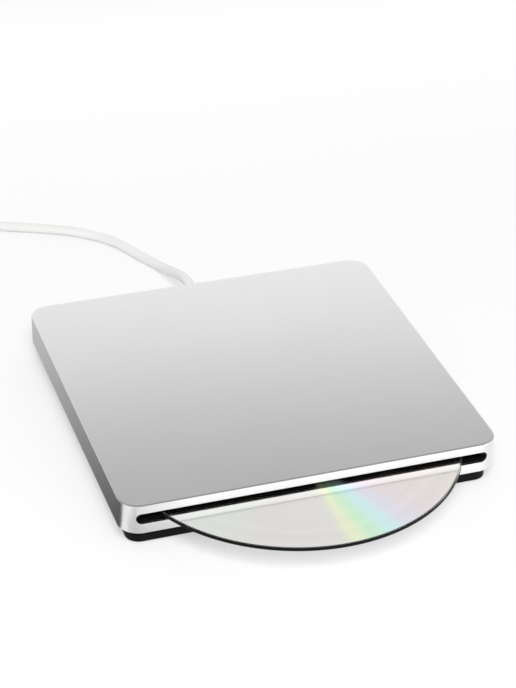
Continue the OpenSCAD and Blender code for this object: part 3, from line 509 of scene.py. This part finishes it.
# Disc: clear hub, mirror band, data side up with painted rainbow reflection streaks, clear rim, plain under
# side
discLow, discHigh = (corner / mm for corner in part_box("disc"))
discSet = {
    "centre": (0, -42.5), "low": discLow.z, "high": discHigh.z, "steps": 240, "sharpFrom": 25,
    "rings": [  # radius, face, height from that face, finish of the ring that follows
        (7.5, "low", 0.1, "hub"), (7.5, "high", -0.1, "hub"), (7.6, "high", 0, "hub"),
        (11.0, "high", 0, "hub"), (11.2, "high", -0.06, "hub"), (11.5, "high", -0.06, "hub"),
        (11.7, "high", 0, "hub"), (16.7, "high", 0, "hub"), (16.9, "high", 0.09, "hub"),
        (17.4, "high", 0.09, "hub"), (17.6, "high", 0, "hub"), (20.2, "high", 0, "mirror"),
        (22.4, "high", 0, "data"), (59.3, "high", 0, "rim"), (59.85, "high", 0, "edge"),
        (59.96, "high", -0.05, "edge"), (60.0, "high", -0.15, "edge"), (60.0, "low", 0.15, "edge"),
        (59.96, "low", 0.05, "edge"), (59.85, "low", 0, "rim"), (59.3, "low", 0, "under"),
        (22.4, "low", 0, "mirror"), (20.2, "low", 0, "hub"), (7.6, "low", 0, "hub"),
    ],
    "hub": {"colour": (0.80, 0.82, 0.84), "rough": 0.03, "clear": 0.85},
    "rim": {"colour": (0.80, 0.81, 0.82), "rough": 0.04, "clear": 0.95},
    "mirror": {"dark": (0.70, 0.70, 0.71), "light": (0.74, 0.74, 0.75), "rough": (0.04, 0.07), "bump": 0.01},
    # the clear disc's cut edge is given near-black plastic: painted shade for the dark line that a clear edge
    # shows
    "edge": {"rough": (0.30, 0.42), "bump": 0.05},
    "under": {"dark": (0.60, 0.61, 0.62), "light": (0.66, 0.67, 0.68), "rough": (0.30, 0.40), "metal": 0.6},
    "flow": 120.0, "flowDetail": 1.0, "flowDark": 0.94, "flowRough": 0.05, "bend": 1.58,  # clear plastic
    "grooves": 260.0, "grooveDetail": 2.0, "grooveShare": 0.06, "gloss": (0.10, 0.16),
    "coat": 0.5, "coatRough": 0.03,
    "rainbowSaturation": (0.10, 0.30), "rainbowGlowMetal": (1.0, 0.92),  # strongly coloured parts of the painted rainbow reflection mirror a little less, so their colour shows as painted glow
    "paintedRainbow": [  # angle in degrees round the disc, colour of the painted rainbow reflection there
        (-160, (0.86, 0.87, 0.86)), (-134, (0.85, 0.88, 0.83)), (-116, (0.88, 0.84, 0.83)),
        (-104, (0.88, 0.86, 0.85)), (-93, (0.88, 0.87, 0.83)), (-87, (0.93, 1.0, 0.70)),
        (-81, (0.70, 1.0, 0.74)), (-74, (0.72, 0.98, 1.0)), (-67, (0.88, 0.87, 0.97)),
        (-58, (0.93, 0.84, 0.87)), (-44, (0.91, 0.86, 0.81)), (-20, (0.87, 0.87, 0.865)),
        (20, (0.86, 0.86, 0.86)), (60, (0.88, 0.86, 0.80)), (92, (0.78, 0.97, 0.80)),
        (104, (0.76, 0.94, 0.96)), (120, (0.90, 0.83, 0.85)), (150, (0.86, 0.86, 0.86)),
    ],
}


# Painted reflection: the rainbow streaks that the disc's tracks throw back from the lamps are painted into
# the base colour by angle round the disc
def paintedRainbowRamp(tree, share, paintedRainbow):
    ramp = put(tree, "ShaderNodeValToRGB", {"Fac": share})
    ramp.color_ramp.interpolation = "EASE"
    stops = ramp.color_ramp.elements
    while len(stops) > 1:
        stops.remove(stops[-1])
    for i, (degrees, tint) in enumerate(paintedRainbow):
        place = (degrees + 180) / 360
        stop = stops[0] if i == 0 else stops.new(place)
        stop.position = place
        stop.color = opaque(tint)
    return ramp.outputs[0]


def dataFinish(s):
    finish, tree, shader = newFinish("discData")
    middle = (-s["centre"][0] * mm, -s["centre"][1] * mm, 0)
    centred = put(tree, "ShaderNodeMapping", {"Vector": ownCoords(tree), "Location": middle}).outputs[0]
    parts = put(tree, "ShaderNodeSeparateXYZ", {"Vector": centred}).outputs
    angle = put(tree, "ShaderNodeMath", {0: parts["Y"], 1: parts["X"]}, operation="ARCTAN2").outputs[0]
    # painted rainbow reflection by angle round the disc; the metal drops where it is strongly coloured
    paintedRainbowColours = paintedRainbowRamp(tree, spread(tree, angle, 0.0, 1.0, -math.pi, math.pi), s["paintedRainbow"])
    rainbowStrength = put(tree, "ShaderNodeSeparateColor", {"Color": paintedRainbowColours}, mode="HSV").outputs[1]
    outward = put(tree, "ShaderNodeVectorMath", {0: centred}, operation="LENGTH").outputs["Value"]
    grooveInputs = {"W": outward, "Scale": s["grooves"], "Detail": s["grooveDetail"]}
    grooves = put(tree, "ShaderNodeTexNoise", grooveInputs, noise_dimensions="1D").outputs[0]
    setInputs(tree, shader, {
        "Base Color": mixColours(tree, s["grooveShare"], paintedRainbowColours, grooves, blend_type="MULTIPLY"),
        "Roughness": spread(tree, grooves, *s["gloss"]),
        "Metallic": spread(tree, rainbowStrength, *s["rainbowGlowMetal"], *s["rainbowSaturation"]),
        "Coat Weight": s["coat"],
        "Coat Roughness": s["coatRough"],
    })
    return finish


def clearFinish(name, look, s):
    finish, tree, shader = newFinish(name)
    flow = noise(tree, ownCoords(tree), s["flow"], s["flowDetail"])
    darker = [c * s["flowDark"] for c in look["colour"]]
    setInputs(tree, shader, {
        "Base Color": mixColours(tree, flow, opaque(darker), opaque(look["colour"])),
        "Roughness": spread(tree, flow, look["rough"], look["rough"] + s["flowRough"]),
        "Transmission Weight": look["clear"],
        "IOR": s["bend"],
    })
    return finish


def discFinishes(s):
    return {
        "hub": clearFinish("discHub", s["hub"], s),
        "mirror": grainFinish("discMirror", finishSet["bright_steel"] | s["mirror"]),
        "data": dataFinish(s),
        "rim": clearFinish("discRim", s["rim"], s),
        # painted shade: the clear edge is dressed in black plastic
        "edge": grainFinish("discEdge", finishSet["black_plastic"] | s["edge"]),
        "under": grainFinish("discUnder", finishSet["can_aluminium"] | s["under"]),
    }


def makeDisc(s):
    made = discFinishes(s)
    order = list(made)
    bm = bmesh.new()
    loops = []
    for radius, face, above, _ in s["rings"]:
        z = s[face] + above
        loops.append(loopAt(bm, [(x, y, z) for x, y in circleOutline(*s["centre"], radius, s["steps"])]))
    closedRing(bm, loops, [order.index(ring[3]) for ring in s["rings"]])
    mesh = outwardMesh("disc", bm)
    shadeByAngle(mesh, s["sharpFrom"])
    for part in order:
        mesh.materials.append(made[part])
    finishes["disc_silver"] = made["data"]
    return placePiece("silverDisc", mesh, "disc", ("disc",))


disc = makeDisc(discSet)
print("disc made")


# Gland: tapered sleeve round the cable where it leaves the shell
glandLow, glandHigh = (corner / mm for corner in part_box("cable_gland"))
glandSet = {
    "axis": shellSet["holeAt"], "inside": glandLow.y, "wallIn": shellSet["half"] - shellSet["wall"],
    "wallOut": shellSet["half"], "end": glandHigh.y,
    "bore": 1.95, "flange": 3.9, "neck": shellSet["hole"], "wide": 3.25, "narrow": 2.3,
    "soft": 0.15, "ribs": 5, "ribSteps": 6, "ribDeep": 0.18, "ribsFrom": 0.5, "ribsTo": 0.4,
    "endSoft": (0.1, 0.05), "steps": 48, "sharpFrom": 40,
}


def glandProfile(s):  # place along the cable, radius
    inside, wallIn, wallOut, end = (s[k] for k in ("inside", "wallIn", "wallOut", "end"))
    profile = [(inside, s["bore"]), (inside, s["flange"]), (wallIn, s["flange"]), (wallIn, s["neck"])]
    profile += [(wallOut, s["neck"]), (wallOut, s["wide"] - s["soft"]), (wallOut + s["soft"], s["wide"])]
    start = wallOut + s["ribsFrom"]
    run = end - s["ribsTo"] - start
    count = s["ribs"] * s["ribSteps"]
    for i in range(count + 1):
        t = i / count
        swell = s["ribDeep"] * (math.cos(2 * math.pi * s["ribs"] * t) - 1)
        profile.append((start + run * t, s["wide"] + (s["narrow"] - s["wide"]) * t + swell))
    back, into = s["endSoft"]
    profile += [(end - back, s["narrow"] - into), (end, s["narrow"] - s["soft"]), (end, s["bore"])]
    return profile


def makeGland(s):
    bm = bmesh.new()
    loops = []
    for y, radius in glandProfile(s):
        loops.append(loopAt(bm, [(x, y, z) for x, z in circleOutline(*s["axis"], radius, s["steps"])]))
    closedRing(bm, loops)
    mesh = outwardMesh("cableGland", bm)
    dressMesh(mesh, finishes["white_cable"], s["sharpFrom"])
    return placePiece("cableGland", mesh, "case", ("cable_gland",))


makeGland(glandSet)
print("gland made")


# Geometry Nodes trees for what repeats
def startTree(name, inputs):
    tree = bpy.data.node_groups.new(name, "GeometryNodeTree")
    sockets = {}
    for key, kind in inputs.items():
        socket = tree.interface.new_socket(key, in_out="INPUT", socket_type="NodeSocket" + kind)
        sockets[key] = socket.identifier
    tree.interface.new_socket("Geometry", in_out="OUTPUT", socket_type="NodeSocketGeometry")
    return tree, sockets, tree.nodes.new("NodeGroupInput").outputs


def endTree(tree, instances, finish):
    real = put(tree, "GeometryNodeRealizeInstances", {"Geometry": instances})
    dressed = put(tree, "GeometryNodeSetMaterial", {"Geometry": real.outputs[0], "Material": finish})
    tree.links.new(dressed.outputs[0], tree.nodes.new("NodeGroupOutput").inputs[0])


def treeMesh(name, tree, sockets, values, bevel=None):
    work = looseObject("treeWork", bpy.data.meshes.new("treeWork"))
    repeat = work.modifiers.new("repeat", "NODES")
    repeat.node_group = tree
    for key, value in values.items():
        repeat[sockets[key]] = value
    if bevel:
        soft = work.modifiers.new("soft", "BEVEL")
        soft.width, soft.segments = bevel
    mesh = evaluatedMesh(work)
    bpy.data.objects.remove(work)
    mesh.name = name
    return mesh


# Row of small bars, for whatever repeats in a straight line
rowSet = {"softSteps": 3, "sharpFrom": 50}


def rowTree():
    inputs = {"Count": "Int", "Start": "Vector", "Step": "Vector", "Bar": "Vector", "Finish": "Material"}
    tree, sockets, given = startTree("rowOfBars", inputs)
    places = {"Count": given["Count"], "Start Location": given["Start"], "Offset": given["Step"]}
    line = put(tree, "GeometryNodeMeshLine", places)
    bar = put(tree, "GeometryNodeMeshCube", {"Size": given["Bar"]})
    row = put(tree, "GeometryNodeInstanceOnPoints", {"Points": line.outputs[0], "Instance": bar.outputs[0]})
    endTree(tree, row.outputs[0], given["Finish"])
    return tree, sockets


barRows, rowSockets = rowTree()


def rowMesh(name, s, finish, turn):
    start, step, bar = ([v * mm for v in s[key]] for key in ("start", "step", "bar"))
    values = {"Count": s["count"], "Start": start, "Step": step, "Bar": bar, "Finish": finish}
    mesh = treeMesh(name, barRows, rowSockets, values, bevel=(s["soft"] * mm, rowSet["softSteps"]))
    mesh.transform(turn)
    shadeByAngle(mesh, rowSet["sharpFrom"])
    return mesh


# Two coil springs that lift the loading roller, in metres
springSet = {"count": 2, "turns": 4.0, "radius": 0.00056, "wire": 0.00013, "apart": 0.1, "keep": 0.86,
             "turnSteps": 18, "wireSteps": 8}


def springTree(s):
    inputs = {"Turns": "Float", "Radius": "Float", "Wire": "Float", "Height": "Float",
              "Start": "Vector", "Step": "Vector", "Finish": "Material"}
    tree, sockets, given = startTree("pairOfSprings", inputs)
    shape = {"Resolution": s["turnSteps"], "Rotations": given["Turns"], "Start Radius": given["Radius"],
             "End Radius": given["Radius"], "Height": given["Height"]}
    spiral = put(tree, "GeometryNodeCurveSpiral", shape).outputs[0]
    section = {"Resolution": s["wireSteps"], "Radius": given["Wire"]}
    wire = put(tree, "GeometryNodeCurvePrimitiveCircle", section).outputs[0]
    swept = {"Curve": spiral, "Profile Curve": wire, "Fill Caps": True}
    coil = put(tree, "GeometryNodeCurveToMesh", swept).outputs[0]
    places = {"Count": s["count"], "Start Location": given["Start"], "Offset": given["Step"]}
    feet = put(tree, "GeometryNodeMeshLine", places).outputs[0]
    pair = put(tree, "GeometryNodeInstanceOnPoints", {"Points": feet, "Instance": coil})
    endTree(tree, pair.outputs[0], given["Finish"])
    return tree, sockets


def makeSprings(s):
    low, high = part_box("roller_springs")
    foot = Vector((-s["apart"] / 2, (low.y + high.y) / 2, low.z + s["wire"]))
    height = high.z - low.z - 2 * s["wire"]
    values = {"Turns": s["turns"], "Radius": s["radius"], "Wire": s["wire"], "Height": height,
              "Start": foot, "Step": (s["apart"], 0, 0), "Finish": finishes["bright_steel"]}
    mesh = treeMesh("loaderSprings", *springTree(s), values)
    mesh.shade_smooth()
    springs = placePiece("loaderSprings", mesh, "case", ("roller_springs",))
    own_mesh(springs)


makeSprings(springSet)
print("springs made")


# Flat ribbon from the board to the pickup, in metres: a flat run, a bend and a riser, all kept in place
ribbonSet = {"thick": 0.00015, "bend": 0.0006, "topGap": 0.00002, "stays": 0.0002,
             "bendSteps": 8, "flatSteps": 12, "riseSteps": 14, "sharpFrom": 40}


def ribbonPath(s, low, high):  # place along, height, tilt
    half, bend = s["thick"] / 2, s["bend"]
    level, corner, top = low.z + half, high.x - half - bend, high.z - s["topGap"]
    path = []
    for i in range(s["flatSteps"]):
        path.append((low.x + (corner - low.x) * i / s["flatSteps"], level, 0.0))
    for i in range(s["bendSteps"] + 1):
        a = math.pi / 2 * i / s["bendSteps"]
        path.append((corner + bend * math.sin(a), level + bend * (1 - math.cos(a)), a))
    start = path[-1][1]
    for i in range(1, s["riseSteps"] + 1):
        path.append((corner + bend, start + (top - start) * i / s["riseSteps"], math.pi / 2))
    return path


def makeRibbon(s):
    low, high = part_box("pickup_flex")
    half = s["thick"] / 2
    sides = ((1, low.y), (1, high.y), (-1, high.y), (-1, low.y))
    bm = bmesh.new()
    loops = []
    for x, z, tilt in ribbonPath(s, low, high):
        dx, dz = -half * math.sin(tilt), half * math.cos(tilt)
        loops.append([bm.verts.new((x + side * dx, y, z + side * dz)) for side, y in sides])
    closedTube(bm, loops)
    mesh = outwardMesh("pickupRibbon", bm)
    dressMesh(mesh, finishes["amber_film"], s["sharpFrom"])
    ribbon = placePiece("pickupRibbon", mesh, None, ("pickup_flex",))
    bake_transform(ribbon)


makeRibbon(ribbonSet)
print("ribbon made")


# Plug: soft grip with a tapered neck, steel sleeve with windows, tongue with four strips
plugSet = {
    "middle": 4.1, "steps": 8, "sharpFrom": 38,
    "grip": [  # along the plug, half width, half height, corner
        (40.0, 2.05, 2.05, 2.0), (40.1, 2.3, 2.3, 2.25), (43.5, 2.7, 2.6, 2.5), (45.2, 3.4, 3.0, 2.5),
        (46.6, 5.2, 3.5, 2.4), (47.8, 7.0, 3.85, 2.2), (49.2, 7.7, 3.98, 2.0), (50.5, 7.8, 4.0, 2.0),
        (63.3, 7.8, 4.0, 2.0), (63.8, 7.65, 3.85, 1.9), (64.0, 7.3, 3.5, 1.7),
    ],
    "sleeve": {"from": 63.6, "to": 76.0, "half": 6.0, "high": 2.25, "wall": 0.3, "corner": 0.6,
               "mouth": 0.1, "mouthOut": 0.08, "mouthIn": 0.04,
               "window": 2.4, "windowAt": 69.0, "apart": 2.6, "cutHigh": 4.0},
    "tongue": {"from": 64.0, "to": 75.4, "half": 5.6, "low": 0.05, "high": 1.9, "soft": 0.15, "steps": 3},
    "strips": {"count": 4, "start": (70.5, -3.6, 4.1), "step": (0, 2.4, 0),
               "bar": (8.6, 1.1, 0.16), "soft": 0.05},
    "ribsTop": {"count": 6, "start": (52.0, 0, 8.02), "step": (1.7, 0, 0),
                "bar": (0.7, 8.4, 0.36), "soft": 0.15},
    "ribsLow": {"count": 6, "start": (52.0, 0, 0.18), "step": (1.7, 0, 0),
                "bar": (0.7, 8.4, 0.3), "soft": 0.13},
}


def crossLoop(bm, x, half, high, corner, middle, steps):
    return loopAt(bm, [(x, y, middle + z) for y, z in roundedOutline(half, high, corner, steps)])


def finishPlug(mesh, slotName, stands):
    mesh.transform(coilFrame)
    dressMesh(mesh, finishes[slotName], plugSet["sharpFrom"])
    return placePiece(mesh.name, mesh, "case", stands)


def gripMesh(s):
    bm = bmesh.new()
    closedTube(bm, [crossLoop(bm, *section, s["middle"], s["steps"]) for section in s["grip"]])
    return outwardMesh("plugGrip", bm)


def sleeveMesh(s, middle, steps):
    outer = (s["half"], s["high"], s["corner"])
    inner = tuple(n - s["wall"] for n in outer)
    lipOut = tuple(n - s["mouthOut"] for n in outer)
    lipIn = tuple(n + s["mouthIn"] for n in inner)
    start, end, mouth = s["from"], s["to"], s["to"] - s["mouth"]
    sections = [(start, outer), (mouth, outer), (end, lipOut), (end, lipIn), (mouth, inner), (start, inner)]
    bm = bmesh.new()
    closedRing(bm, [crossLoop(bm, x, *sizes, middle, steps) for x, sizes in sections])
    sleeve = looseObject("sleeveWork", outwardMesh("sleeveWork", bm))
    x0, x1 = s["windowAt"] - s["window"] / 2, s["windowAt"] + s["window"] / 2
    z0, z1 = middle - s["cutHigh"], middle + s["cutHigh"]
    for side in (-1, 1):
        near = side * s["apart"] - s["window"] / 2
        window = prismAlongY("window", [(x0, z0), (x1, z0), (x1, z1), (x0, z1)], near, near + s["window"])
        cutWith(sleeve, window)
    return takeMesh("plugSleeve", sleeve)


def tongueMesh(s, middle):
    high = (s["high"] - s["low"]) / 2
    level = middle + (s["high"] + s["low"]) / 2
    sections = [(s["from"], 0), (s["to"] - s["soft"], 0), (s["to"], s["soft"])]
    bm = bmesh.new()
    closedTube(bm, [crossLoop(bm, x, s["half"] - into, high - into, s["soft"] * 2, level, s["steps"])
                    for x, into in sections])
    return outwardMesh("plugTongue", bm)


def plugRow(name, s, finish):
    return placePiece(name, rowMesh(name, s, finishes[finish], coilFrame), "case")


def makePlug(s):
    return [
        finishPlug(gripMesh(s), "white_cable", ("plug_body",)),
        finishPlug(sleeveMesh(s["sleeve"], s["middle"], s["steps"]), "bright_steel", ("plug_shell",)),
        finishPlug(tongueMesh(s["tongue"], s["middle"]), "contact_block", ("plug_contacts",)),
        plugRow("plugStrips", s["strips"], "gold_strips"),
        plugRow("gripRibsTop", s["ribsTop"], "white_cable"),
        plugRow("gripRibsLow", s["ribsLow"], "white_cable"),
    ]


plugPieces = makePlug(plugSet)
print("plug made:", len(plugPieces), "pieces")


# Every CAD node takes the finish of its own slot
def dressNodes():
    for part in frame["record"]["subparts"]:
        data = nodes[part["node"]].data
        data.materials.clear()
        data.materials.append(finishes[part["material_slot"]])


dressNodes()
print("nodes dressed")


# Floor and world
stageSet = {
    "floorWide": 6.0, "floorDrop": 0.0002, "floor": (0.90, 0.90, 0.90), "floorRough": 0.9, "floorShine": 0.1,
    "paper": 0.48, "paperFrom": 0.20, "paperTo": 0.50,  # white paper further out, shadow close by
    "ambient": 0.47, "sky": 0.40, "skyAhead": 0.62, "skyOverhead": 0.14,
    "ahead": (0.20, -0.30), "high": (0.50, 0.75),  # where the sky turns to the front and upwards
}


def anyOf(tree, *sockets):
    total = sockets[0]
    for socket in sockets[1:]:
        total = put(tree, "ShaderNodeMath", {0: total, 1: socket}, operation="MAXIMUM").outputs[0]
    return total


def mixShaders(tree, share, first, second):
    mixed = put(tree, "ShaderNodeMixShader", {0: share, 1: first.outputs[0], 2: second.outputs[0]})
    tree.links.new(mixed.outputs[0], tree.nodes["Material Output"].inputs["Surface"])


def makeFloor(s):
    bm = bmesh.new()
    bmesh.ops.create_grid(bm, x_segments=1, y_segments=1, size=s["floorWide"] / 2)
    floor = looseObject("floor", plainMesh("floor", bm))
    floor.location.z = -s["floorDrop"]
    finish, tree, shader = newFinish("floorPaper")
    setInputs(tree, shader, {"Base Color": opaque(s["floor"]), "Roughness": s["floorRough"],
                             "Specular IOR Level": s["floorShine"]})
    rays = put(tree, "ShaderNodeLightPath").outputs
    away = put(tree, "ShaderNodeVectorMath", {0: ownCoords(tree)}, operation="LENGTH").outputs["Value"]
    paper = spread(tree, away, s["paper"], 1.0, s["paperFrom"], s["paperTo"], interpolation_type="SMOOTHSTEP")
    direct = put(tree, "ShaderNodeMath", {0: rays["Is Camera Ray"], 1: paper}, operation="MULTIPLY")
    share = anyOf(tree, direct.outputs[0], rays["Is Glossy Ray"], rays["Is Transmission Ray"])
    white = put(tree, "ShaderNodeEmission", {"Color": (1, 1, 1, 1), "Strength": 1.0})
    mixShaders(tree, share, shader, white)
    floor.data.materials.append(finish)


def makeWorld(s):
    world = bpy.data.worlds.new("studio")
    scene.world = world
    world.use_nodes = True
    sky = world.node_tree
    rays = put(sky, "ShaderNodeLightPath").outputs
    around = put(sky, "ShaderNodeTexCoord").outputs["Generated"]
    toward = put(sky, "ShaderNodeSeparateXYZ", {"Vector": around}).outputs
    ahead, high = (spread(sky, toward[axis], 0.0, 1.0, *s[key], interpolation_type="SMOOTHSTEP")
                   for axis, key in (("Y", "ahead"), ("Z", "high")))
    front = spread(sky, high, s["skyAhead"], s["skyOverhead"])
    mirrored = spread(sky, ahead, s["sky"], front)
    soft = spread(sky, rays["Is Glossy Ray"], s["ambient"], mirrored)
    level = spread(sky, rays["Is Camera Ray"], soft, 1.0)
    setInputs(sky, sky.nodes["Background"], {"Strength": level, "Color": (1, 1, 1, 1)})


# Lamps: glow is the brightness of the lamp's own face
lampSet = [
    {"name": "keyLamp", "place": (-0.20, -0.80, 0.95), "aim": (0, 0, 0),
     "size": (0.55, 0.55), "glow": 13.0, "mirrored": False},
    {"name": "backCard", "place": (0.05, 0.36, 0.14), "aim": (0.0, 0.0, 0.02),
     "size": (1.0, 0.22), "glow": 0.70},
    {"name": "discCard", "place": (0.27, 0.60, 0.56), "aim": (0.0, -0.08, 0.012),
     "size": (0.8, 0.30), "glow": 0.45, "only": disc},
    {"name": "frontStrip", "place": (0.28, -0.40, 0.03), "aim": (0.03, -0.07, 0.010),
     "size": (0.5, 0.05), "glow": 6.4},
]


def addLamp(s):
    data = bpy.data.lights.new(s["name"], "AREA")
    data.shape = "RECTANGLE"
    wide, high = s["size"]
    data.size, data.size_y = wide, high
    data.energy = s["glow"] * math.pi * wide * high
    lamp = looseObject(s["name"], data)
    lamp.visible_camera = False
    lamp.visible_glossy = s.get("mirrored", True)
    lamp.location = s["place"]
    lamp.rotation_euler = (Vector(s["aim"]) - Vector(s["place"])).to_track_quat("-Z", "Y").to_euler()
    if "only" in s:
        lamp.light_linking.receiver_collection = bpy.data.collections.new(s["name"])
        lamp.light_linking.receiver_collection.objects.link(s["only"])


# Cards that only reflections see: two on the floor, and one close before the strip over the slot
cardSet = [  # first corner and two sides, axis of the fade, where it starts and ends, brightness there
    {"name": "sideCard", "corner": (-0.30, -0.060, 0.0006), "sides": ((0.231, 0, 0), (0, 0.22, 0)),
     "axis": "Y", "from": -0.055, "to": 0.085, "glow": (0.09, 0.60)},
    {"name": "frontCard", "corner": (-0.079, -0.12, 0.0006), "sides": ((0.151, 0, 0), (0, 0.051, 0)),
     "axis": "X", "from": -0.066, "to": -0.008, "glow": (0.66, 1.14)},
    {"name": "slotCard", "corner": (0.063, -0.0693, 0.01235), "sides": ((-0.127, 0, 0), (0, 0, 0.00485)),
     "axis": "X", "from": -0.064, "to": -0.045, "glow": (0.85, 1.18)},
]


def addCard(s):
    corner, across, along = (Vector(v) for v in (s["corner"], *s["sides"]))
    bm = bmesh.new()
    corners = (corner, corner + across, corner + across + along, corner + along)
    bm.faces.new([bm.verts.new(p) for p in corners])
    card = looseObject(s["name"], plainMesh(s["name"], bm))
    for ray in ("camera", "diffuse", "shadow", "transmission", "volume_scatter"):
        setattr(card, "visible_" + ray, False)
    finish, tree, _ = newFinish(s["name"])
    place = put(tree, "ShaderNodeSeparateXYZ", {"Vector": ownCoords(tree)}).outputs[s["axis"]]
    fade = spread(tree, place, *s["glow"], s["from"], s["to"])
    glow = put(tree, "ShaderNodeEmission", {"Strength": fade})
    behind = put(tree, "ShaderNodeNewGeometry").outputs["Backfacing"]
    mixShaders(tree, behind, glow, put(tree, "ShaderNodeBsdfTransparent"))
    card.data.materials.append(finish)


makeFloor(stageSet)
makeWorld(stageSet)
for lamp in lampSet:
    addLamp(lamp)
for card in cardSet:
    addCard(card)
print("stage made")
